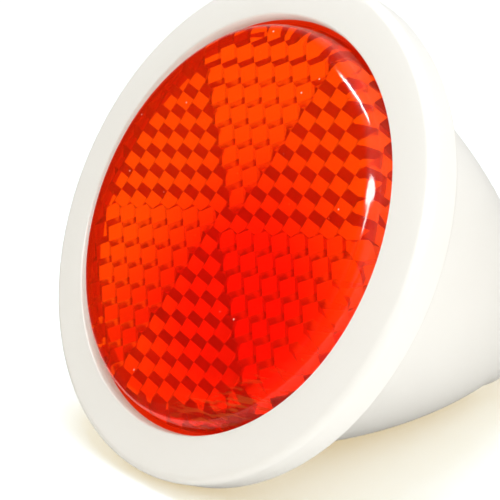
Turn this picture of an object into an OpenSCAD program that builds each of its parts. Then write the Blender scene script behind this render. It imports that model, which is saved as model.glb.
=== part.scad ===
// Round red reflector in a white bullet-shaped housing, bolted to a mudguard by a stud at its tail.
// Each piece is drawn along its own axis, with the seat at zero and the lens facing up, and is then laid
// down: the lens faces -Y, the stud points to +Y, and the rows of prisms run along X.

/* [Lens] */
// Diameter of the lens at its rim
lens_d = 50.6; // [48:0.2:52]
// Width of the steep edge between the flat front and the rim
lens_edge_w = 1.1; // [0.6:0.1:2.4]
// How far the front stands above the flange
lens_proud = 1.5; // [1:0.1:2]
// Height of the steep edge
lens_edge_h = 3; // [2.4:0.1:3.4]
// Radius of the shoulder between the front and the steep edge
lens_shoulder_r = 2; // [1:0.1:3]
// Radius at the foot of the steep edge
lens_foot_r = 1; // [0.4:0.1:1.6]
// Width of the rim that carries the lens on its ledge
lens_rim_w = 1.2; // [0.8:0.1:1.6]

/* [Prisms] */
// Width of one prism across its flats
prism_w = 3; // [2.4:0.1:3.4]
// Clear plastic between the front and the highest edges of the prisms
prism_cover = 2.2; // [1.8:0.1:2.6]
// Number of sectors, of which every other one has its prisms turned by half a turn
prism_sectors = 6; // [2:2:6]
// Clearance behind the prism tips
prism_gap = 0.5; // [0.2:0.1:1]

/* [Flange] */
// Diameter of the flange at its front
flange_d = 63.8; // [62:0.2:68]
// Diameter of the flange at its back
flange_back_d = 62.8; // [61:0.2:67]
// Height of the flange
flange_h = 5.5; // [5:0.1:7]
// Radius of the flange's front edge
flange_front_r = 1.2; // [0.6:0.1:1.6]
// Radius of the flange's back edge
flange_back_r = 0.9; // [0.3:0.1:0.9]
// Fall of the flange's front from the recess to its edge
flange_fall = 0.4; // [0.1:0.1:0.8]
// Gap between the lens rim and the foot of the recess wall
recess_gap = 0.25; // [0.1:0.05:0.5]
// Widening of the recess wall from its foot to the front
recess_flare = 0.6; // [0.2:0.1:0.8]
// Width of the ledge that the lens sits on
ledge_w = 1.9; // [1.7:0.1:2.4]

/* [Shell] */
// Wall thickness
wall = 2; // [1.7:0.1:2.2]
// Distance from the seat on the mudguard to the front of the flange
body_l = 50; // [46:1:64]
// Diameter of the shell where it leaves the flange
shell_root_d = 53.2; // [52:0.2:54]
// Diameter of the shell at its tail
shell_tail_d = 19; // [18:0.5:24]
// Bulge of the shell's side beyond a straight cone
shell_bulge = 2.4; // [1.5:0.1:3.5]
// Radius of the edge round the seat
seat_edge_r = 1.5; // [0.5:0.1:1.8]

/* [Fixing] */
// Thread diameter of the bolt
bolt_d = 5; // [4:0.5:5.5]
// Length of the bolt under its head
bolt_l = 20; // [18:1:26]
// Length of the bolt's thread, up to its tip
thread_l = 16; // [14:1:16]
// Depth of the bolt's plain shank below its thread
shank_relief = 0.25; // [0.1:0.05:0.4]
// Width of the bolt's head across its flats
hex_w = 8; // [8:0.5:9]
// Height of the bolt's head
head_h = 3.5; // [3:0.1:4]
// Thickness of the tail under the bolt's head
tail_floor = 3; // [2.5:0.1:4]
// Gap between the bolt and its hole, and between its head and the pocket
bolt_gap = 0.15; // [0.1:0.05:0.3]

/* [Hidden] */

$fn = 128;
eps = 0.01;
arc_steps = 6;
shell_steps = 16;
hex_chamfer = 30;                        // slope of the turned corners of the head
tip_chamfer = 0.5;
head_play = 0.5;                         // the pocket is this much deeper than the head is high

// The prisms stand on a lattice whose steps are half a prism across and a third of a row up
step_x = prism_w / 2;
step_y = prism_w / (2 * sqrt(3));
prism_h = prism_w / sqrt(6);             // height of one level: a prism is two levels deep
prism_r = lens_d / 2 - lens_rim_w;
prism_rows = ceil(prism_r / (3 * step_y)) + 1;

lens_r = lens_d / 2;
front_z = body_l + lens_proud;
prism_top_z = front_z - prism_cover;
tip_z = prism_top_z - 2 * prism_h;
ledge_z = tip_z - prism_gap;

recess_r = lens_r + recess_gap;
ledge_r = lens_r - ledge_w;
flange_back_z = body_l - flange_h;
groove_top_z = body_l - flange_fall - wall;

bolt_r = bolt_d / 2;
shank_r = bolt_r - shank_relief;
bolt_tip_z = tail_floor - bolt_l;
thread_z = bolt_tip_z + thread_l;
cavity_z = tail_floor + head_h + head_play;

// The side of the shell is one shallow arc, from the edge of the seat to the flange
tail_p = [shell_tail_d / 2, seat_edge_r];
root_p = [shell_root_d / 2, flange_back_z];
shell_chord = norm(root_p - tail_p);
shell_arc_r = shell_chord ^ 2 / (8 * shell_bulge) + shell_bulge / 2;
shell_out = [root_p.y - tail_p.y, tail_p.x - root_p.x] / shell_chord;
shell_centre = (tail_p + root_p) / 2 + (shell_bulge - shell_arc_r) * shell_out;

// Radius of the shell at the height z, a depth in below its surface
function shell_r(z, depth = 0) =
    shell_centre.x + sqrt((shell_arc_r - depth) ^ 2 - (z - shell_centre.y) ^ 2);

// Evenly spaced numbers from a to b
function spread(a, b, steps) = [for (i = [0:steps]) a + (b - a) * i / steps];

// Points that round off the corner at b, on the way from a to c, with the radius r
function rounded(a, b, c, r) =
    let (
        u = (a - b) / norm(a - b),
        v = (c - b) / norm(c - b),
        half = acos(u * v) / 2,
        centre = b + (u + v) / norm(u + v) * r / sin(half),
        p = b + u * r / tan(half) - centre,
        q = b + v * r / tan(half) - centre,
        start = atan2(p.y, p.x),
        turn = (atan2(q.y, q.x) - start + 540) % 360 - 180
    )
    [for (t = spread(start, start + turn, arc_steps)) centre + r * [cos(t), sin(t)]];

module laid_down() {
    rotate([90, 0, 0]) children();
}

module hexagon(w, h) {
    cylinder(r = w / sqrt(3), h = h, $fn = 6);
}

// Hexagonal body whose corners are turned off at the end h, as on a bolt's head
module turned_hexagon(w, h) {
    r = w / sqrt(3);
    drop = (r - w / 2) * tan(hex_chamfer);
    intersection() {
        hexagon(w, h);
        rotate_extrude() polygon([[0, 0], [r, 0], [r, h - drop], [w / 2, h], [0, h]]);
    }
}

// A prism's corners and its neighbours, counted in lattice steps from its centre. Places are counted in
// whole steps, so that neighbours share their corners exactly.
CORNERS = [[1, 1], [0, 2], [-1, 1], [-1, -1], [0, -2], [1, -1]];
NEIGHBOURS = [[1, 3], [-1, 3], [-2, 0], [-1, -3], [1, -3], [2, 0]];
function place(p, z) = [p.x * step_x, p.y * step_y, z];
function in_array(c) = norm(place(c, 0)) < prism_r + prism_w / sqrt(3);

// Sectors are counted round the axis, and the prisms of the odd ones are turned
function sector(c) = floor((atan2(c.y * step_y, c.x * step_x) + 360) % 360 * prism_sectors / 360);
function in_set(c, turn) = in_array(c) && sector(c) % 2 == turn;

// A prism ends in the corner of a cube. Its centre is the tip, and its corners lie one and two levels
// above the tip by turns: first one level up, or first two levels up where the prism is turned.
function corner(c, k, turn) = place(c + CORNERS[k % 6], tip_z + prism_h * (1 + (k + turn) % 2));
function square_faces(c, turn) = [
    for (k = [0:2:4]) [place(c, tip_z), for (i = [0:2]) corner(c, k + turn + i, turn)]
];
function top_face(c, top) = [for (k = [5:-1:0]) place(c + CORNERS[k], top)];

// Side faces are needed only next to a prism that is turned the other way, or past the last prism
function side_faces(c, turn, top) = [
    for (k = [0:5])
        if (!in_set(c + NEIGHBOURS[k], turn)) [
            corner(c, k + 1, turn),
            corner(c, k, turn),
            place(c + CORNERS[k], top),
            place(c + CORNERS[(k + 1) % 6], top)
        ]
];

// All prisms that are turned alike, as one solid from their tips up to the level top
module prism_set(turn, top) {
    cells = [
        for (row = [-prism_rows:prism_rows], col = [-prism_rows:prism_rows])
            let (c = [2 * col + abs(row % 2), 3 * row])
            if (in_set(c, turn)) c
    ];
    rings = [
        for (c = cells)
            each [each square_faces(c, turn), top_face(c, top), each side_faces(c, turn, top)]
    ];
    starts = [for (i = 0, n = 0; i < len(rings); n = n + len(rings[i]), i = i + 1) n];
    polyhedron(
        points = [for (ring = rings) each ring],
        faces = [for (i = [0:len(rings) - 1]) [for (k = [0:len(rings[i]) - 1]) starts[i] + k]],
        convexity = 10
    );
}

module lens() {
    axis_p = [0, front_z];
    shoulder_p = [lens_r - lens_edge_w, front_z];
    foot_p = [lens_r, front_z - lens_edge_h];
    rim_p = [lens_r, ledge_z];
    color([0.85, 0.05, 0.02]) laid_down() {
        rotate_extrude() polygon([
            [0, prism_top_z],
            axis_p,
            each rounded(axis_p, shoulder_p, foot_p, lens_shoulder_r),
            each rounded(shoulder_p, foot_p, rim_p, lens_foot_r),
            rim_p,
            [prism_r, ledge_z],
            [prism_r, prism_top_z]
        ]);
        for (turn = [0, 1]) intersection() {
            prism_set(turn, prism_top_z + eps);
            translate([0, 0, ledge_z]) cylinder(r = prism_r + eps, h = front_z - ledge_z);
        }
    }
}

// Outside of the housing, as a solid body
module housing_body() {
    axis_p = [0, 0];
    seat_p = [tail_p.x, 0];
    back_p = [flange_back_d / 2, flange_back_z];
    edge_p = [flange_d / 2, body_l - flange_fall];
    recess_p = [recess_r + recess_flare, body_l];
    rotate_extrude() polygon([
        axis_p,
        each rounded(axis_p, seat_p, tail_p, seat_edge_r - eps),
        for (z = spread(tail_p.y, root_p.y, shell_steps)) [shell_r(z), z],
        each rounded(root_p, back_p, edge_p, flange_back_r),
        each rounded(back_p, edge_p, recess_p, flange_front_r),
        recess_p,
        [0, body_l]
    ]);
}

// Recess and ledge for the lens, and behind them the hollow, which narrows with the shell
module housing_hollow() {
    rotate_extrude() polygon([
        [0, cavity_z],
        for (z = spread(cavity_z, ledge_z, shell_steps)) [min(ledge_r, shell_r(z, wall)), z],
        [recess_r, ledge_z],
        [recess_r + recess_flare, body_l],
        [recess_r + recess_flare, body_l + eps],
        [0, body_l + eps]
    ]);
}

// Groove in the flange's back, which keeps the flange as thin as the rest
module flange_groove() {
    inner_r = recess_r + wall;
    outer_r = flange_back_d / 2 - wall;
    translate([0, 0, flange_back_z - eps]) difference() {
        cylinder(r = outer_r, h = groove_top_z - flange_back_z + eps);
        translate([0, 0, -eps]) cylinder(r = inner_r, h = groove_top_z - flange_back_z + 3 * eps);
    }
}

module housing() {
    color("white") laid_down() difference() {
        housing_body();
        housing_hollow();
        flange_groove();
        translate([0, 0, tail_floor]) hexagon(hex_w + 2 * bolt_gap, cavity_z - tail_floor + eps);
        translate([0, 0, -eps]) cylinder(r = bolt_r + bolt_gap, h = tail_floor + 2 * eps);
    }
}

module bolt() {
    color("silver") laid_down() {
        translate([0, 0, tail_floor]) turned_hexagon(hex_w, head_h);
        rotate_extrude() polygon([
            [0, bolt_tip_z],
            [bolt_r - tip_chamfer, bolt_tip_z],
            [bolt_r, bolt_tip_z + tip_chamfer],
            [bolt_r, thread_z],
            [shank_r, thread_z + shank_relief],
            [shank_r, tail_floor],
            [0, tail_floor]
        ]);
    }
}

lens();
housing();
bolt();
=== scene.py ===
# %% [markdown]
# # A mudguard reflector
# The part is a round red reflector lens in a white bullet-shaped housing. The thread of a bolt, whose head
# sits inside the tail, is the stud that goes through the mudguard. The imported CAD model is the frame: every
# piece made here sits where its solid sits, in metres, with the lens facing -Y and the stud pointing to +Y.

# %% Load the frame
import math

import bmesh
import bpy
from mathutils import Matrix, Vector


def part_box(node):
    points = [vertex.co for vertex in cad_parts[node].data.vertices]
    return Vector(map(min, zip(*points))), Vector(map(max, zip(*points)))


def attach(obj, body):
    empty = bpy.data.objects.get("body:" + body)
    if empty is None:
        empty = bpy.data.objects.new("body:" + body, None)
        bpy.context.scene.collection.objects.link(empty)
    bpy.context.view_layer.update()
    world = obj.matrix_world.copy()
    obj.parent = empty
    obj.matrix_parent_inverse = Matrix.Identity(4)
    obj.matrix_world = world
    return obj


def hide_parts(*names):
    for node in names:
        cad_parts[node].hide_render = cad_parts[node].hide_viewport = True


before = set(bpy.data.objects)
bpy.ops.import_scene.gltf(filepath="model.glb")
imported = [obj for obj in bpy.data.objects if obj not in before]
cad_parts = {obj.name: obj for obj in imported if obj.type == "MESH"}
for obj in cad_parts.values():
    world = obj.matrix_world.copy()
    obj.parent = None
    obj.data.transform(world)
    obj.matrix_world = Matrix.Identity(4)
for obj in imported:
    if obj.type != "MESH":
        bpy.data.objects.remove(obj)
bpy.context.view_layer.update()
MM = 0.001
print("CAD nodes:", sorted(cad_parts))

# %% [markdown]
# ## Camera
# The picture was taken from the right of the reflector and a little below its axis, with the camera
# rolled to one side. A camera could be aimed at the lens, but in the picture the lens is off the middle of
# the frame. So the camera is turned by the direction it looks from and its roll, and then placed by an
# offset from the lens's middle, in millimetres.

# %% Camera
LENS_MIDDLE = Vector((0, -49.7, 0))
VIEW_AZIMUTH = math.radians(47.75)
VIEW_HEIGHT = math.radians(-8.34)
VIEW_ROLL = math.radians(12.9)
CAMERA_OFFSET = Vector((171.1, -150.7, -36.2))
SENSOR = 36.0
FOCAL = 138.9
NEAREST = 1.0


def add_camera():
    """A camera that looks at the lens from the picture's side."""
    back = Vector((
        math.sin(VIEW_AZIMUTH) * math.cos(VIEW_HEIGHT),
        -math.cos(VIEW_AZIMUTH) * math.cos(VIEW_HEIGHT),
        math.sin(VIEW_HEIGHT),
    ))
    data = bpy.data.cameras.new("camera")
    data.lens = FOCAL
    data.sensor_width = SENSOR
    data.clip_start = NEAREST * MM
    camera = bpy.data.objects.new("camera", data)
    bpy.context.scene.collection.objects.link(camera)
    level = (-back).to_track_quat("-Z", "Y").to_matrix()
    turn = level @ Matrix.Rotation(VIEW_ROLL, 3, "Z")
    place = (LENS_MIDDLE + CAMERA_OFFSET) * MM
    camera.matrix_world = Matrix.Translation(place) @ turn.to_4x4()
    bpy.context.scene.camera = camera
    return camera


camera = add_camera()
print("camera at", [round(x / MM, 1) for x in camera.location], "mm")

# %% [markdown]
# ## Modelling helpers
# Almost everything here is round about one axis. Such a piece could be made from cylinders and cones, but
# one spun outline is simpler and closes by itself. The outline is drawn as one flat face, its corners are
# rounded by a vertex bevel, and its edges are spun round the axis. A piece is modelled upright, with the
# seat at zero and the lens facing up, and is then laid down like the CAD solids.

# %% Helpers for turned pieces
ROUND_STEPS = 256


def outline_face(bm, points):
    """One flat face in the XZ plane from (radius, height) pairs in millimetres."""
    corners = [bm.verts.new((r * MM, 0, z * MM)) for r, z in points]
    return bm.faces.new(corners)


def round_corner(bm, at, radius, segments=6):
    """Rounds the outline's corner nearest the point at, (radius, height) in millimetres."""
    place = Vector((at[0] * MM, 0, at[1] * MM))
    corner = min(bm.verts, key=lambda v: (v.co - place).length)
    arms = [(e.other_vert(corner).co - corner.co).normalized() for e in corner.link_edges]
    half = arms[0].angle(arms[1]) / 2
    bmesh.ops.bevel(
        bm, geom=[corner], affect="VERTICES", offset=radius * MM / math.tan(half),
        offset_type="OFFSET", segments=segments, profile=0.5, material=-1,
    )


def spin_outline(bm, steps=ROUND_STEPS):
    """Turns the outline's edges into a closed surface of revolution about Z."""
    bmesh.ops.delete(bm, geom=bm.faces[:], context="FACES_ONLY")
    on_axis = [e for e in bm.edges if all(abs(v.co.x) < 1e-9 for v in e.verts)]
    bmesh.ops.delete(bm, geom=on_axis, context="EDGES")
    bmesh.ops.spin(
        bm, geom=bm.verts[:] + bm.edges[:], cent=(0, 0, 0), axis=(0, 0, 1), dvec=(0, 0, 0),
        angle=2 * math.pi, steps=steps, use_merge=True, use_duplicate=False,
    )
    bmesh.ops.remove_doubles(bm, verts=bm.verts[:], dist=0.002 * MM)
    bmesh.ops.recalc_face_normals(bm, faces=bm.faces[:])


def lay_down(bm):
    """Turns an upright piece so that its top faces -Y."""
    bmesh.ops.rotate(bm, verts=bm.verts[:], cent=(0, 0, 0), matrix=Matrix.Rotation(math.pi / 2, 3, "X"))


def new_object(bm, name):
    """A mesh object at the origin."""
    mesh = bpy.data.meshes.new(name)
    bm.to_mesh(mesh)
    bm.free()
    piece = bpy.data.objects.new(name, mesh)
    bpy.context.scene.collection.objects.link(piece)
    return piece


def combine(piece, other, operation):
    """Applies a boolean of the other object to the piece, and removes the other object."""
    modifier = piece.modifiers.new("combine", "BOOLEAN")
    modifier.object = other
    modifier.operation = operation
    modifier.solver = "MANIFOLD"
    with bpy.context.temp_override(object=piece, active_object=piece):
        bpy.ops.object.modifier_apply(modifier="combine")
    bpy.data.objects.remove(other)
    return piece


def finish_mesh(piece, smooth_below, merge=0.0):
    """Lays the piece down, merges what a cut left double, and smooths edges flatter than some degrees."""
    bm = bmesh.new()
    bm.from_mesh(piece.data)
    if merge:
        bmesh.ops.remove_doubles(bm, verts=bm.verts[:], dist=merge * MM)
    lay_down(bm)
    bm.to_mesh(piece.data)
    bm.free()
    piece.data.shade_smooth()
    piece.data.set_sharp_from_angle(angle=math.radians(smooth_below))
    return piece


# %% [markdown]
# ## Sizes
# All sizes could be written out again here, but then the two models could drift apart. So the sizes that
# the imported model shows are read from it, and this script follows it when they change. The rest are the
# part's own named sizes, given below with the piece that has them.

# %% Sizes, in millimetres, from the frame
BODY_L = -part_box("housing")[0].y / MM
FLANGE_D = 2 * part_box("housing")[1].x / MM
LENS_D = 2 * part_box("lens")[1].x / MM
FRONT_Z = -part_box("lens")[0].y / MM
LEDGE_Z = -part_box("lens")[1].y / MM
print("housing", round(BODY_L, 2), "long; flange", round(FLANGE_D, 2), "; lens", round(LENS_D, 2))

# %% [markdown]
# ## Lens
# The lens is one moulding: a disc with a flat polished front and a steep edge, rounded where the two meet,
# and on its back a field of corner-cube prisms. Such a prism is the corner of a cube that stands on its
# tip, so the field is made from cubes: three faces of each, repeated on a hexagonal lattice. The field has
# six sectors, and the prisms of every other sector are turned by half a turn, which is why the sectors look
# different from the side. A bump in the material could fake the pattern from the front, but only real faces
# bend light as these do.

# %% The lens's sizes
LENS_R = LENS_D / 2
LENS_FACE_R = LENS_R - 1.1
LENS_EDGE_H = 3.0
LENS_SHOULDER_R = 2.0
LENS_FOOT_R = 1.0
LENS_RIM_W = 1.2
PRISM_W = 3.0
PRISM_COVER = 2.2
PRISM_TOP = FRONT_Z - PRISM_COVER
PRISM_TIP = PRISM_TOP - 2 * PRISM_W / math.sqrt(6)
PRISM_R = LENS_R - LENS_RIM_W
SECTOR = 60
BOUND_H = 20
OVERLAP = 0.01
print("prisms", PRISM_W, "mm across, from", round(PRISM_TIP, 2), "to", round(PRISM_TOP, 2), "mm")


def lens_body():
    """The lens without its prisms, turned from one outline."""
    bm = bmesh.new()
    shoulder = (LENS_FACE_R, FRONT_Z)
    foot = (LENS_R, FRONT_Z - LENS_EDGE_H)
    outline_face(bm, [
        (0, PRISM_TOP), (0, FRONT_Z), shoulder, foot,
        (LENS_R, LEDGE_Z), (PRISM_R, LEDGE_Z), (PRISM_R, PRISM_TOP),
    ])
    round_corner(bm, shoulder, LENS_SHOULDER_R, segments=16)
    round_corner(bm, foot, LENS_FOOT_R, segments=8)
    spin_outline(bm)
    return new_object(bm, "lens_moulding")


# %% One prism, and where the prisms stand
def prism_corner(bm, x, y, turned):
    """Three faces of a cube that meet in its lowest corner, at (x, y), in millimetres."""
    side = PRISM_W / math.sqrt(2) * MM
    made = bmesh.ops.create_cube(bm, size=side)["verts"]
    bmesh.ops.translate(bm, verts=made, vec=Vector((1, 1, 1)) * side / 2)
    on_tip = Vector((1, 1, 1)).rotation_difference(Vector((0, 0, 1))).to_matrix()
    bmesh.ops.rotate(bm, verts=made, cent=(0, 0, 0), matrix=on_tip)
    one_level = side / math.sqrt(3)
    lower_edge = max((v.co for v in made if v.co.z < 1.1 * one_level), key=lambda c: c.x)
    now_at = math.atan2(lower_edge.y, lower_edge.x)
    wanted_at = math.radians(30) + (math.pi if turned else 0)
    bmesh.ops.rotate(
        bm, verts=made, cent=(0, 0, 0), matrix=Matrix.Rotation(wanted_at - now_at, 3, "Z"),
    )
    tip = min(made, key=lambda v: v.co.z)
    kept = set(tip.link_faces)
    others = {f for v in made for f in v.link_faces} - kept
    far = max(made, key=lambda v: v.co.z)
    bmesh.ops.delete(bm, geom=list(others), context="FACES_ONLY")
    bmesh.ops.delete(bm, geom=[far], context="VERTS")
    left = {v for f in kept for v in f.verts}
    bmesh.ops.translate(bm, verts=list(left), vec=Vector((x, y, PRISM_TIP)) * MM)


def prism_places(turned):
    """Centres of the prisms of every other sector, on a hexagonal lattice."""
    row_h = PRISM_W * math.sqrt(3) / 2
    rows = math.ceil(PRISM_R / row_h) + 1
    for row in range(-rows, rows + 1):
        for col in range(-rows, rows + 1):
            x = (col + (row % 2) / 2) * PRISM_W
            y = row * row_h
            sector = int((math.degrees(math.atan2(y, x)) + 360) % 360 // SECTOR)
            if math.hypot(x, y) < PRISM_R + PRISM_W / math.sqrt(3) and sector % 2 == turned:
                yield x, y


def prism_set(turned):
    """All prisms that are turned alike: their faces, walls up from the open edges, and a flat top."""
    bm = bmesh.new()
    for x, y in prism_places(turned):
        prism_corner(bm, x, y, turned)
    bmesh.ops.remove_doubles(bm, verts=bm.verts[:], dist=0.01 * MM)
    rim = [e for e in bm.edges if e.is_boundary]
    made = bmesh.ops.extrude_edge_only(bm, edges=rim)["geom"]
    lifted = [g for g in made if isinstance(g, bmesh.types.BMVert)]
    for v in lifted:
        v.co.z = (PRISM_TOP + OVERLAP) * MM
    top = [g for g in made if isinstance(g, bmesh.types.BMEdge)]
    bmesh.ops.triangle_fill(bm, edges=top, use_beauty=True)
    bmesh.ops.recalc_face_normals(bm, faces=bm.faces[:])
    return new_object(bm, "prisms")


def add_lens():
    """The lens's body joined to both sets of prisms, each cut to a round field first."""
    lens_piece = lens_body()
    bound = bmesh.new()
    bmesh.ops.create_cone(
        bound, cap_ends=True, segments=ROUND_STEPS, radius1=(PRISM_R + OVERLAP) * MM,
        radius2=(PRISM_R + OVERLAP) * MM, depth=BOUND_H * MM,
        matrix=Matrix.Translation((0, 0, PRISM_TOP * MM)),
    )
    bounding = new_object(bound, "bound")
    for turned in (0, 1):
        prisms = prism_set(turned)
        cut = bpy.data.objects.new("cut", bounding.data.copy())
        bpy.context.scene.collection.objects.link(cut)
        combine(prisms, cut, "INTERSECT")
        combine(lens_piece, prisms, "UNION")
    bpy.data.objects.remove(bounding)
    return finish_mesh(lens_piece, 20)


lens = add_lens()
check = bmesh.new()
check.from_mesh(lens.data)
open_edges = sum(not e.is_manifold for e in check.edges)
volume = check.calc_volume() / MM**3
print("lens:", len(check.faces), "faces,", open_edges, "open edges,", round(volume, 1), "mm3")
check.free()

# %% [markdown]
# ## Housing
# The housing is one white moulding: a flange with the recess for the lens, and a shell that narrows to the
# tail in one shallow arc. Behind the flange runs a groove, because moulded plastic has one wall thickness
# throughout. A solid could be hollowed out with Solidify, but the recess, the ledge and the groove each
# have a size of their own. So it is turned from one closed outline, and only the hole and the six-sided
# pocket for the bolt are cut out afterwards.

# %% The housing's sizes
FLANGE_BACK_D = 62.8
FLANGE_H = 5.5
FLANGE_FALL = 0.4
FLANGE_FRONT_R = 1.2
FLANGE_BACK_R = 0.9
RECESS_GAP = 0.25
RECESS_FLARE = 0.6
RECESS_LIP_R = 0.25
LEDGE_W = 1.9
WALL = 2.0
SHELL_ROOT_D = 53.2
SHELL_TAIL_D = 19.0
SHELL_BULGE = 2.4
SEAT_EDGE_R = 1.5
TAIL_FLOOR = 3.0
HEAD_H = 3.5
HEAD_PLAY = 0.5
HEX_W = 8.0
BOLT_D = 5.0
BOLT_GAP = 0.15
DOUBLE = 0.0005
CUT_PAST = 1.0
HOLE_STEPS = 64
FLANGE_BACK_Z = BODY_L - FLANGE_H
CAVITY_Z = TAIL_FLOOR + HEAD_H + HEAD_PLAY


def arc(start, end, bulge, inset=0.0, steps=40):
    """Points on the shallow arc from start to end, with its middle a bulge out; inset moves it inwards."""
    a, b = Vector(start), Vector(end)
    chord = (b - a).length
    radius = chord**2 / (8 * bulge) + bulge / 2
    out = Vector((b.y - a.y, a.x - b.x)) / chord
    centre = (a + b) / 2 + (bulge - radius) * out
    first = math.atan2(a.y - centre.y, a.x - centre.x)
    last = math.atan2(b.y - centre.y, b.x - centre.x)
    turns = [first + (last - first) * i / steps for i in range(steps + 1)]
    reach = radius - inset
    return [(centre.x + reach * math.cos(t), centre.y + reach * math.sin(t)) for t in turns]


def housing_outline(bm):
    """The housing's outline as one face, from the seat up the outside and down the inside."""
    recess_r = LENS_R + RECESS_GAP
    ledge_r = LENS_R - LEDGE_W
    tail = (SHELL_TAIL_D / 2, SEAT_EDGE_R)
    root = (SHELL_ROOT_D / 2, FLANGE_BACK_Z)
    inside = arc(tail, root, SHELL_BULGE, inset=WALL)
    hollow = [(r, z) for r, z in inside if CAVITY_Z < z < LEDGE_Z and r < ledge_r]
    groove_top = BODY_L - FLANGE_FALL - WALL
    groove_in = recess_r + WALL
    groove_out = FLANGE_BACK_D / 2 - WALL
    seat = (SHELL_TAIL_D / 2, 0)
    back = (FLANGE_BACK_D / 2, FLANGE_BACK_Z)
    edge = (FLANGE_D / 2, BODY_L - FLANGE_FALL)
    outline_face(bm, [
        (0, 0),
        seat,
        *arc(tail, root, SHELL_BULGE)[1:],
        (groove_in, FLANGE_BACK_Z),
        (groove_in, groove_top),
        (groove_out, groove_top),
        (groove_out, FLANGE_BACK_Z),
        back,
        edge,
        (recess_r + RECESS_FLARE, BODY_L),
        (recess_r, LEDGE_Z),
        (ledge_r, LEDGE_Z),
        *reversed(hollow),
        (hollow[0][0], CAVITY_Z),
        (0, CAVITY_Z),
    ])
    round_corner(bm, seat, SEAT_EDGE_R * 0.98)  # not quite up to the first point of the arc
    round_corner(bm, back, FLANGE_BACK_R, segments=8)
    round_corner(bm, edge, FLANGE_FRONT_R, segments=10)
    round_corner(bm, (recess_r + RECESS_FLARE, BODY_L), RECESS_LIP_R, segments=4)


def upright_prism(name, sides, radius, low, high):
    """A straight prism or cylinder about the axis, sizes in millimetres."""
    bm = bmesh.new()
    bmesh.ops.create_cone(
        bm, cap_ends=True, segments=sides, radius1=radius * MM, radius2=radius * MM,
        depth=(high - low) * MM, matrix=Matrix.Translation((0, 0, (low + high) / 2 * MM)),
    )
    return new_object(bm, name)


def add_housing():
    """The turned moulding with the bolt's hole and pocket cut out."""
    bm = bmesh.new()
    housing_outline(bm)
    spin_outline(bm)
    piece = new_object(bm, "housing_moulding")
    pocket_r = (HEX_W + 2 * BOLT_GAP) / math.sqrt(3)
    pocket = upright_prism("pocket", 6, pocket_r, TAIL_FLOOR, CAVITY_Z + CUT_PAST)
    hole = upright_prism("hole", HOLE_STEPS, BOLT_D / 2 + BOLT_GAP, -CUT_PAST, CAVITY_Z)
    combine(piece, pocket, "DIFFERENCE")
    combine(piece, hole, "DIFFERENCE")
    return finish_mesh(piece, 25, merge=DOUBLE)


housing = add_housing()
print("housing:", len(housing.data.polygons), "faces")

# %% [markdown]
# ## Bolt
# The bolt is a plain zinc-plated hexagon bolt with a reduced shank. Its thread could be rings or a bump,
# but rings look wrong where the thread runs out. So it is a real helix: the outline of one thread is spun
# round the axis and moved on by one pitch each turn, and its ends are trimmed by the bolt's blank.

# %% Bolt
BOLT_L = 20.0
THREAD_L = 16.0
SHANK_RELIEF = 0.25
TIP_CHAMFER = 0.5
PITCH = 0.8
THREAD_DEPTH = 0.45
THREAD_CREST = (3 / 8, 5 / 8)
THREAD_STEPS = 40
CREST_ROOM = 0.02
HEAD_CHAMFER = math.radians(30)
SHANK_IN_HEAD = 0.5


def thread_ridge():
    """A closed helical ridge, longer at both ends than the thread."""
    bm = bmesh.new()
    low = TAIL_FLOOR - BOLT_L - 2 * PITCH
    turns = math.ceil(THREAD_L / PITCH) + 4
    root = BOLT_D / 2 - THREAD_DEPTH
    heights = ((root, 0), (BOLT_D / 2, THREAD_CREST[0]), (BOLT_D / 2, THREAD_CREST[1]), (root, 1))
    points = [bm.verts.new((r * MM, 0, (low + z * PITCH) * MM)) for r, z in heights]
    edges = [bm.edges.new(pair) for pair in zip(points, points[1:])]
    bmesh.ops.spin(
        bm, geom=points + edges, cent=(0, 0, 0), axis=(0, 0, 1), dvec=(0, 0, PITCH / THREAD_STEPS * MM),
        angle=2 * math.pi * turns, steps=turns * THREAD_STEPS, use_merge=False, use_duplicate=False,
    )
    bmesh.ops.remove_doubles(bm, verts=bm.verts[:], dist=0.005 * MM)
    for height, inside in ((low + 1.5 * PITCH, 1), (low + (turns - 0.5) * PITCH, -1)):
        cut = bmesh.ops.bisect_plane(
            bm, geom=bm.verts[:] + bm.edges[:] + bm.faces[:], dist=1e-7, plane_co=(0, 0, height * MM),
            plane_no=(0, 0, -inside), clear_outer=True,
        )
        rim = [g for g in cut["geom_cut"] if isinstance(g, bmesh.types.BMEdge)]
        bmesh.ops.triangle_fill(bm, edges=rim, use_beauty=True)
    bmesh.ops.recalc_face_normals(bm, faces=bm.faces[:])
    return new_object(bm, "thread")


def blank(points):
    """A turned solid to trim the thread or the head with."""
    bm = bmesh.new()
    outline_face(bm, points)
    spin_outline(bm, HOLE_STEPS)
    return new_object(bm, "blank")


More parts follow.
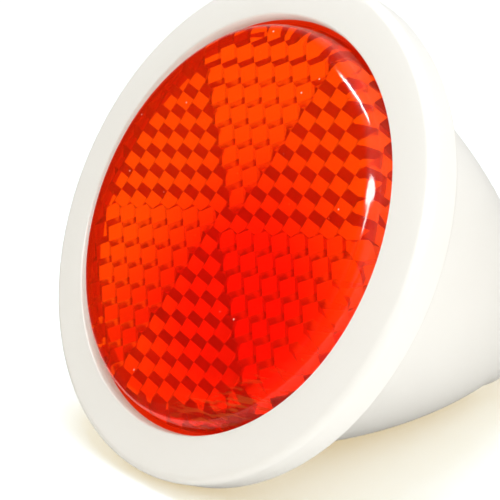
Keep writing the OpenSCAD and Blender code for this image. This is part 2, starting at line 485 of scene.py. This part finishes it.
def add_bolt():
    """The thread, the shank and the chamfered head, joined into one piece."""
    tip = TAIL_FLOOR - BOLT_L
    thread_end = tip + THREAD_L
    thread_r = BOLT_D / 2
    shank_r = thread_r - SHANK_RELIEF
    root = thread_r - THREAD_DEPTH
    outer = thread_r + CREST_ROOM
    envelope = blank([
        (0, tip), (thread_r - TIP_CHAMFER, tip), (outer, tip + TIP_CHAMFER + CREST_ROOM),
        (outer, thread_end), (root, thread_end + SHANK_RELIEF), (0, thread_end + SHANK_RELIEF),
    ])
    piece = combine(thread_ridge(), envelope, "INTERSECT")
    shank = upright_prism("shank", HOLE_STEPS, shank_r, thread_end, TAIL_FLOOR + SHANK_IN_HEAD)
    combine(piece, shank, "UNION")
    corner = HEX_W / math.sqrt(3)
    drop = (corner - HEX_W / 2) * math.tan(HEAD_CHAMFER)
    top = TAIL_FLOOR + HEAD_H
    head = upright_prism("head", 6, corner, TAIL_FLOOR, top)
    below, beyond = TAIL_FLOOR - CUT_PAST, corner + 0.1
    chamfered = blank([(0, below), (beyond, below), (beyond, top - drop), (HEX_W / 2, top), (0, top)])
    combine(head, chamfered, "INTERSECT")
    combine(piece, head, "UNION")
    piece.name = "threaded_bolt"
    return finish_mesh(piece, 30, merge=DOUBLE)


bolt = add_bolt()
print("bolt:", len(bolt.data.polygons), "faces")

# %% [markdown]
# ## Shader helpers
# A material is a graph of nodes. It could be wired up link by link, but then the sums are hard to read. So
# one small class wraps a socket, which makes arithmetic on it read like arithmetic, and one method adds
# every other kind of node. Places and distances in the materials are in millimetres on the object.

# %% Sockets as numbers
class Wire:
    """An output socket that can stand in an expression."""

    def __init__(self, graph, socket):
        self.graph = graph
        self.socket = socket

    def maths(self, operation, first, second):
        return self.graph.add("ShaderNodeMath", {"operation": operation}, {0: first, 1: second})

    def __add__(self, other):
        return self.maths("ADD", self, other)

    def __radd__(self, other):
        return self.maths("ADD", other, self)

    def __sub__(self, other):
        return self.maths("SUBTRACT", self, other)

    def __rsub__(self, other):
        return self.maths("SUBTRACT", other, self)

    def __mul__(self, other):
        return self.maths("MULTIPLY", self, other)

    def __rmul__(self, other):
        return self.maths("MULTIPLY", other, self)

    def __lt__(self, other):
        return self.maths("LESS_THAN", self, other)

    def __gt__(self, other):
        return self.maths("GREATER_THAN", self, other)

    def within(self, low, high):
        """Nought at low, one at high, and smooth between them."""
        limits = {"Value": self, "From Min": low, "From Max": high}
        return self.graph.add("ShaderNodeMapRange", {"interpolation_type": "SMOOTHSTEP"}, limits)

    def at_most(self, other):
        return self.maths("MINIMUM", self, other)

    def at_least(self, other):
        return self.maths("MAXIMUM", self, other)

    def output(self, name):
        """Another output of the same node."""
        return Wire(self.graph, self.socket.node.outputs[name])


class Graph:
    """The node tree of a material or of the world."""

    def __init__(self, owner):
        owner.use_nodes = True
        self.tree = owner.node_tree
        self.tree.nodes.clear()

    def feed(self, socket, value):
        """Links a wire to the socket, or sets the socket to a plain value."""
        if isinstance(value, Wire):
            self.tree.links.new(value.socket, socket)
        else:
            socket.default_value = value

    def add(self, kind, settings=None, inputs=None):
        """A node with its settings and inputs; the answer is its first output."""
        node = self.tree.nodes.new(kind)
        for name, value in (settings or {}).items():
            setattr(node, name, value)
        for name, value in (inputs or {}).items():
            self.feed(node.inputs[name], value)
        return Wire(self, node.outputs[0]) if node.outputs else None

    def place(self, scale=1.0):
        """Object coordinates in millimetres, times the scale, which is one number or one for each axis."""
        here = self.add("ShaderNodeTexCoord").output("Object")
        scales = scale if isinstance(scale, tuple) else (scale, scale, scale)
        return self.vector("MULTIPLY", here, tuple(s / MM for s in scales))

    def vector(self, operation, first, second=None):
        """Arithmetic on vectors. LENGTH and DOT_PRODUCT give their answer in the output Value."""
        inputs = {0: first} if second is None else {0: first, 1: second}
        return self.add("ShaderNodeVectorMath", {"operation": operation}, inputs)

    def part(self, vector, axis):
        """The X, Y or Z of a vector."""
        return self.add("ShaderNodeSeparateXYZ", {}, {"Vector": vector}).output(axis)

    def away_from(self, middle):
        """Distance in millimetres from a line along the axis through the middle."""
        offset = self.vector("SUBTRACT", self.place(), middle)
        return self.vector("LENGTH", self.vector("MULTIPLY", offset, (1, 0, 1))).output("Value")

    def noise(self, scale, detail):
        """Noise from nought to one, with about scale features to the millimetre."""
        inputs = {"Vector": self.place(scale), "Scale": 1.0, "Detail": detail}
        return self.add("ShaderNodeTexNoise", {}, inputs)

    def mix(self, factor, first, second):
        """A colour between two colours."""
        node = self.add("ShaderNodeMix", {"data_type": "RGBA"}, {"Factor": factor}).socket.node
        colours = [socket for socket in node.inputs if socket.type == "RGBA"]
        self.feed(colours[0], first)
        self.feed(colours[1], second)
        return Wire(self, next(socket for socket in node.outputs if socket.type == "RGBA"))

    def blend(self, factor, first, second):
        """A surface between two surfaces."""
        return self.add("ShaderNodeMixShader", {}, {0: factor, 1: first, 2: second})

    def diffuse(self, colour):
        return self.add("ShaderNodeBsdfDiffuse", {}, {"Color": colour})

    def bump(self, strength, distance, height):
        inputs = {"Strength": strength, "Distance": distance * MM, "Height": height}
        return self.add("ShaderNodeBump", {}, inputs)

    def finish(self, surface):
        self.add("ShaderNodeOutputMaterial", {}, {"Surface": surface})


def dress(piece, material):
    """Gives the piece its one material."""
    piece.data.materials.clear()
    piece.data.materials.append(material)
    print(piece.name, "is", material.name)


# %% [markdown]
# ## Lens material
# The real lens is clear red acrylic: its colour comes from light that goes through it, and the prisms show
# because their faces bend that light differently. A red paint would hide them, so the material is a
# Principled shader with transmission and the prisms are real faces. A fifth of it is a plain deep red,
# for the pigment that scatters light. The tint carries painted shade: it goes from orange at the top to a
# darker red at the lower right, where the wall behind the lens gets less light. Scuffs at the lower edge,
# fine scratches and a few specks of dust are masks made from noise. To light that bounces off the housing
# the lens is pale, because a small part of a white housing would otherwise look pink all round the lens.

# %% Lens material
RED = (1.0, 0.21, 0.003, 1)
DEEP_RED = (1.0, 0.015, 0.002, 1)
# painted shade: where the lens's tint turns darker red, round the lower right
LENS_SHADE_MIDDLE = (6.0, 0.0, -10.0)
LENS_SHADE_REACH = (7.0, 26.0)
PIGMENT = 0.2
HAZE = (0.07, 0.05)


def clear_red(graph):
    """Clear acrylic whose tint is darkened round one place as painted shade, and with fine scratches."""
    haze = graph.noise(0.35, 4.0)
    # painted shade: the tint darkens from orange to deep red round the lower right
    shaded_tint = graph.mix(graph.away_from(LENS_SHADE_MIDDLE).within(*LENS_SHADE_REACH), DEEP_RED, RED)
    scratches = graph.noise((5.0, 0.3, 0.3), 2.0).within(0.66, 0.7)
    clear = graph.add("ShaderNodeBsdfPrincipled", {}, {
        "Base Color": shaded_tint,
        "Transmission Weight": 0.95,
        "IOR": 1.49,
        "Roughness": haze * HAZE[1] + HAZE[0],
        "Normal": graph.bump(0.08, 0.02, graph.noise(0.9, 3.0) - scratches * 0.5),
    })
    return graph.blend(PIGMENT, clear, graph.diffuse(DEEP_RED))


# %% Wear on the lens
SCUFF = (0.5, 0.08, 0.015, 1)
SCUFF_MIDDLE = (8.0, 0.0, -23.0)
SCUFF_REACH = (3.0, 13.0)
SCUFF_COVER = 0.45
AXIS = (0.0, 0.0, 0.0)
DUST_SIZE = 0.045
DUST_SCALE = 0.4
DUST_SHARE = 0.6
DUST_COVER = 0.7
PALE = (0.95, 0.86, 0.8, 1)
PALE_SHARE = 0.85


def scuffs(graph):
    """A mask of short strokes, only at the lens's edge and only round one place on it."""
    strokes = graph.noise((0.4, 0.4, 2.6), 5.0).within(0.5, 0.6)
    at_edge = graph.away_from(AXIS).within(LENS_R - 4.5, LENS_R - 1.5)
    return strokes * at_edge * (1 - graph.away_from(SCUFF_MIDDLE).within(*SCUFF_REACH))


def dust(graph):
    """A mask of small round specks, each at the middle of a cell and only in some of the cells."""
    cells = graph.add("ShaderNodeTexVoronoi", {}, {"Vector": graph.place(DUST_SCALE), "Scale": 1.0})
    chosen = graph.part(cells.output("Color"), "X") > DUST_SHARE
    return (cells < DUST_SIZE) * chosen


def lens_red():
    material = bpy.data.materials.new("clear red acrylic")
    graph = Graph(material)
    worn = graph.blend(scuffs(graph) * SCUFF_COVER, clear_red(graph), graph.diffuse(SCUFF))
    bounced = graph.add("ShaderNodeLightPath").output("Is Diffuse Ray") * PALE_SHARE
    pale = bounced + dust(graph) * (1 - bounced) * DUST_COVER
    graph.finish(graph.blend(pale, worn, graph.diffuse(PALE)))
    return material


dress(lens, lens_red())

# %% [markdown]
# ## Housing material
# The housing is white plastic with a soft gloss. Its wall is thin, so on the real part daylight comes
# through it and lights the hollow behind the lens. Tracing that light through the wall would be slow and
# noisy, so the inside faces of the wall glow a little instead. A mask picks those faces by their radius,
# their height and the way they look: the walls of the hollow look towards the axis, and the ledge looks to
# the front. The glow is orange at the top, redder below and dim in the recess round the lens. The same
# faces are painted dark red instead of white, as painted shade. Slight clouds in the white and in its
# roughness, and a fine grain, come from noise.

# %% Housing material
WHITE = (0.86, 0.857, 0.85, 1)
DULL_WHITE = (0.84, 0.835, 0.825, 1)
BLACK = (0.0, 0.0, 0.0, 1)
GLOW_HIGH = (1.15, 0.5, 0.05, 1)
GLOW_LOW = (0.7, 0.03, 0.0, 1)
GLOW_RIM = (0.4, 0.01, 0.0, 1)
GLOW_HEIGHTS = (-18.0, -2.0)
# painted shade: the dark red base colour of the inside faces of the white housing
INNER_RED_SHADE = (0.4, 0.05, 0.01, 1)
RECESS_SEEN = 1.6
GLOSS = (0.36, 0.06)


def inner_wall(graph):
    """One on the walls of the hollow and on the recess below the lens's edge, nought elsewhere."""
    here = graph.place()
    normal = graph.add("ShaderNodeNewGeometry").output("Normal")
    sideways = graph.vector("MULTIPLY", here, (1, 0, 1))
    radius = graph.vector("LENGTH", sideways).output("Value")
    inward = graph.vector("DOT_PRODUCT", normal, graph.vector("NORMALIZE", sideways)).output("Value")
    depth = graph.part(here, "Y")
    wall = (inward < -0.3) * (radius < LENS_R + RECESS_GAP + RECESS_FLARE)
    ledge = (graph.part(normal, "Y") < -0.7) * (radius < LENS_R + RECESS_GAP)
    deep = (depth > RECESS_SEEN - BODY_L) * (depth < -CAVITY_Z)
    return wall.at_least(ledge) * deep


def through_wall(graph):
    """The light that the translucent wall lets into the hollow: more at the top, and redder below."""
    here = graph.place()
    hollow = graph.mix(graph.part(here, "Z").within(*GLOW_HEIGHTS), GLOW_LOW, GLOW_HIGH)
    recess = graph.part(here, "Y") < -LEDGE_Z + 0.1
    return graph.mix(recess, hollow, GLOW_RIM)


def housing_white():
    material = bpy.data.materials.new("white plastic")
    graph = Graph(material)
    cloud = graph.noise(0.05, 2.0)
    inside = inner_wall(graph)
    graph.finish(graph.add("ShaderNodeBsdfPrincipled", {}, {
        # the inside faces get a painted dark red shade in place of the white
        "Base Color": graph.mix(inside, graph.mix(cloud, DULL_WHITE, WHITE), INNER_RED_SHADE),
        "Roughness": cloud * GLOSS[1] + GLOSS[0],
        "IOR": 1.5,
        "Normal": graph.bump(0.05, 0.05, graph.noise(2.5, 2.0)),
        "Emission Color": graph.mix(inside, BLACK, through_wall(graph)),
        "Emission Strength": 1.0,
    }))
    return material


dress(housing, housing_white())

# %% [markdown]
# ## Bolt material
# The bolt is steel with a bright zinc plate, a metal whose plating is a little uneven. One even grey would
# look like chrome. So one noise makes its colour and its roughness vary together, as patches of duller
# plating do.

# %% Bolt material
ZINC = (0.72, 0.72, 0.7, 1)
DULL_ZINC = (0.55, 0.56, 0.57, 1)


def zinc_plate():
    material = bpy.data.materials.new("zinc plate")
    graph = Graph(material)
    cloud = graph.noise(0.6, 4.0)
    graph.finish(graph.add("ShaderNodeBsdfPrincipled", {}, {
        "Base Color": graph.mix(cloud, DULL_ZINC, ZINC),
        "Metallic": 1.0,
        "Roughness": cloud * 0.2 + 0.2,
    }))
    return material


dress(bolt, zinc_plate())

# %% [markdown]
# ## Table
# The reflector lies on a pale table, on the edge of its flange and the lowest point behind it. The table
# could be set by eye, but it would cut into the part, or leave a gap, as soon as a size changes. So both
# points are found from the outline. The table's material has two colours for the camera: what the lamps
# light is nearly white, and what they don't reach is cream. A diffuse colour for the lit part and a steady
# glow for the rest add up to that. In reflections the table is nearly black, which keeps the red of the
# lens pure, and to all other rays it is a plain cream-white. It is seen from above only, so that views from
# below look through it.

# %% Table material
TABLE_LIT = (0.54, 0.74, 1.0, 1)
TABLE_SHADE = (0.54, 0.37, 0.12, 1)
TABLE_CREAM = (0.93, 0.915, 0.88, 1)
TABLE_MIRRORED = (0.05, 0.04, 0.04, 1)


def table_top():
    material = bpy.data.materials.new("table")
    graph = Graph(material)
    path = graph.add("ShaderNodeLightPath")
    seen = path.output("Is Camera Ray")
    others = graph.mix(path.output("Is Glossy Ray"), TABLE_CREAM, TABLE_MIRRORED)
    matte = graph.diffuse(graph.mix(seen, others, TABLE_LIT))
    shade = graph.mix(seen, BLACK, TABLE_SHADE)
    glow = graph.add("ShaderNodeEmission", {}, {"Color": shade, "Strength": 1.0})
    top = graph.add("ShaderNodeAddShader", {}, {0: matte, 1: glow})
    from_below = graph.add("ShaderNodeNewGeometry").output("Backfacing") * seen
    graph.finish(graph.blend(from_below, top, graph.add("ShaderNodeBsdfTransparent")))
    return material


# %% Table
TABLE_TURN = math.radians(10.5)
TABLE_HALF = 3000
TABLE_GAP = 0.05
PLAY = 0.02


def resting_points():
    """The two points of the outline, (radius, height), that the lying reflector rests on.

    From each point of the flange a line goes back to the point that it meets first. The right line is the
    one that no other point of the flange stands out of.
    """
    outline = {
        (round(math.hypot(v.co.x, v.co.z) / MM, 2), round(-v.co.y / MM, 2))
        for piece in (housing, bolt) for v in piece.data.vertices
    }
    flange = sorted(p for p in outline if p[1] >= FLANGE_BACK_Z and p[0] > LENS_R + WALL)
    behind = sorted(p for p in outline if p[1] < FLANGE_BACK_Z)
    for edge in flange:
        slope, rest = min(((edge[0] - p[0]) / (edge[1] - p[1]), p) for p in behind)
        if all(p[0] <= edge[0] + slope * (p[1] - edge[1]) + PLAY for p in flange):
            return edge, rest


def add_table():
    """A plane through the two points that the reflector rests on."""
    down = Vector((-math.sin(TABLE_TURN), 0, -math.cos(TABLE_TURN)))
    flange_point, rest_point = (down * r + Vector((0, -z, 0)) for r, z in resting_points())
    along = (rest_point - flange_point).normalized()
    across = along.cross(down).normalized()
    normal = across.cross(along).normalized()
    if normal.dot(down) > 0:
        normal = -normal
    bm = bmesh.new()
    bmesh.ops.create_grid(bm, x_segments=1, y_segments=1, size=TABLE_HALF * MM)
    turn = normal.to_track_quat("Z", "Y").to_matrix()
    bmesh.ops.rotate(bm, verts=bm.verts[:], cent=(0, 0, 0), matrix=turn)
    bmesh.ops.translate(bm, verts=bm.verts[:], vec=(flange_point - normal * TABLE_GAP) * MM)
    table = new_object(bm, "table")
    table.data.materials.append(table_top())
    print("table rests at", resting_points(), "and faces", [round(n, 3) for n in normal])


add_table()

# %% [markdown]
# ## Lamps
# A large soft lamp stands high in front, and a small one fills in from the right. Neither is mirrored by
# the lens. The white streak and the white spot on the lens are mirror images in its rounded shoulder. They
# could be white patches in the material, but gloss has to move when the camera does, so thin bar lamps make
# them. Each bar runs between two directions, which are the mirrored lines of sight at the two ends of its
# image, and only glossy surfaces see it.

# %% Lamps
SOFT_COLOUR = (0.88, 0.95, 1.0)
FILL_COLOUR = (0.95, 0.98, 1.0)
SHELL_MIDDLE = Vector((0, -20, -10))


def add_lamp(name, place, aim, size, power):
    """A round area lamp that only lights, and shows in no mirror."""
    data = bpy.data.lights.new(name, "AREA")
    data.shape = "DISK"
    data.size = size * MM
    data.energy = power
    lamp = bpy.data.objects.new(name, data)
    bpy.context.scene.collection.objects.link(lamp)
    lamp.location = Vector(place) * MM
    lamp.rotation_euler = (aim - Vector(place)).to_track_quat("-Z", "Y").to_euler()
    lamp.visible_camera = False
    lamp.visible_transmission = False
    lamp.visible_glossy = False
    return lamp


add_lamp("soft lamp", (40, -260, 500), LENS_MIDDLE, 400, 1.9).data.color = SOFT_COLOUR
add_lamp("fill lamp", (330, -90, -50), SHELL_MIDDLE, 120, 0.34).data.color = FILL_COLOUR

# %% Bar lamps
BAR_REACH = 400


def bar_lamp(name, one_way, other_way, width, power):
    """A thin lamp that only gloss shows, between two directions from the lens."""
    first = Vector(one_way).normalized() * BAR_REACH
    last = Vector(other_way).normalized() * BAR_REACH
    middle = LENS_MIDDLE + (first + last) / 2
    lamp = add_lamp(name, middle, LENS_MIDDLE, width, power)
    lamp.data.shape = "ELLIPSE"
    lamp.data.size_y = (last - first).length * MM
    lamp.visible_glossy = True
    lamp.visible_diffuse = False
    facing = (middle - LENS_MIDDLE).normalized()
    side = facing.cross(last - first).normalized()
    turn = Matrix((side, facing.cross(side), facing)).transposed()
    lamp.matrix_world = Matrix.Translation(middle * MM) @ turn.to_4x4()


bar_lamp("streak lamp", (-0.416, -0.718, 0.557), (0.409, -0.431, 0.804), 24, 1.1)
bar_lamp("spot lamp", (0.235, -0.912, 0.3), (0.806, -0.392, 0.411), 66, 1.6)
bar_lamp("spot tail lamp", (0.60, -0.727, 0.332), (0.47, -0.873, 0.124), 60, 0.36)
print("lamps:", [light.name for light in bpy.data.lights])

# %% [markdown]
# ## World
# The world is a plain white backdrop. It could light the scene just as it looks, but the lens would then
# turn pink with white reflections. So only the camera sees it at full strength. As light it is weaker and
# slightly warm, and through the lens it is a dim red. In reflections it is dim and has two dark places: one
# is mirrored by the flat front of the lens, whose prisms keep their contrast, and one by the lower right of
# its shoulder, which stays pure red.

# %% World
DAYLIGHT = 0.77
DAYLIGHT_COLOUR = (1.0, 0.94, 0.83, 1)
BACKDROP = (1.0, 1.0, 1.0, 1)
SEEN_THROUGH = (1.0, 0.07, 0.02, 1)
THROUGH_LEVEL = 0.5
GLOSS_LEVEL = 0.6
LEAST = 0.01
FACE_MIRRORS = (-0.73, -0.67, 0.15)
FACE_DARK = (0.3, 0.8)
SHOULDER_MIRRORS = (0.45, -0.85, -0.27)
SHOULDER_DARK = (0.72, 0.95)


def dark_places(graph):
    """A mask over the directions that the lens's front and the right of its shoulder mirror."""
    way = graph.add("ShaderNodeTexCoord").output("Generated")
    face = graph.vector("DOT_PRODUCT", way, FACE_MIRRORS).output("Value")
    shoulder = graph.vector("DOT_PRODUCT", way, SHOULDER_MIRRORS).output("Value")
    return face.within(*FACE_DARK).at_least(shoulder.within(*SHOULDER_DARK))


def add_world():
    world = bpy.data.worlds.new("room")
    bpy.context.scene.world = world
    graph = Graph(world)
    path = graph.add("ShaderNodeLightPath")
    seen = path.output("Is Camera Ray")
    lights = path.output("Diffuse Depth").at_most(1.0)
    shows = (1 - lights) * (1 - seen)
    through = path.output("Is Transmission Ray")
    mirrored = path.output("Is Glossy Ray") * (1 - dark_places(graph)) * GLOSS_LEVEL
    daylight = graph.mix(lights * (1 - seen), BACKDROP, DAYLIGHT_COLOUR)
    colour = graph.mix(through * shows, daylight, SEEN_THROUGH)
    strength = seen + lights * DAYLIGHT + shows * (LEAST + mirrored + through * THROUGH_LEVEL)
    sky = graph.add("ShaderNodeBackground", {}, {"Color": colour, "Strength": strength})
    graph.add("ShaderNodeOutputWorld", {}, {"Surface": sky})
    print("world:", world.name, "daylight", DAYLIGHT)


add_world()
bpy.context.scene.view_settings.view_transform = "Standard"

# %% [markdown]
# ## Bodies
# The part has one body, so all three pieces ride it. Each piece takes the place of its CAD solid, which is
# hidden.

# %% Bodies
for piece, node in ((lens, "lens"), (housing, "housing"), (bolt, "bolt")):
    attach(piece, "root")
    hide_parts(node)
print("pieces on root:", [piece.name for piece in (lens, housing, bolt)])
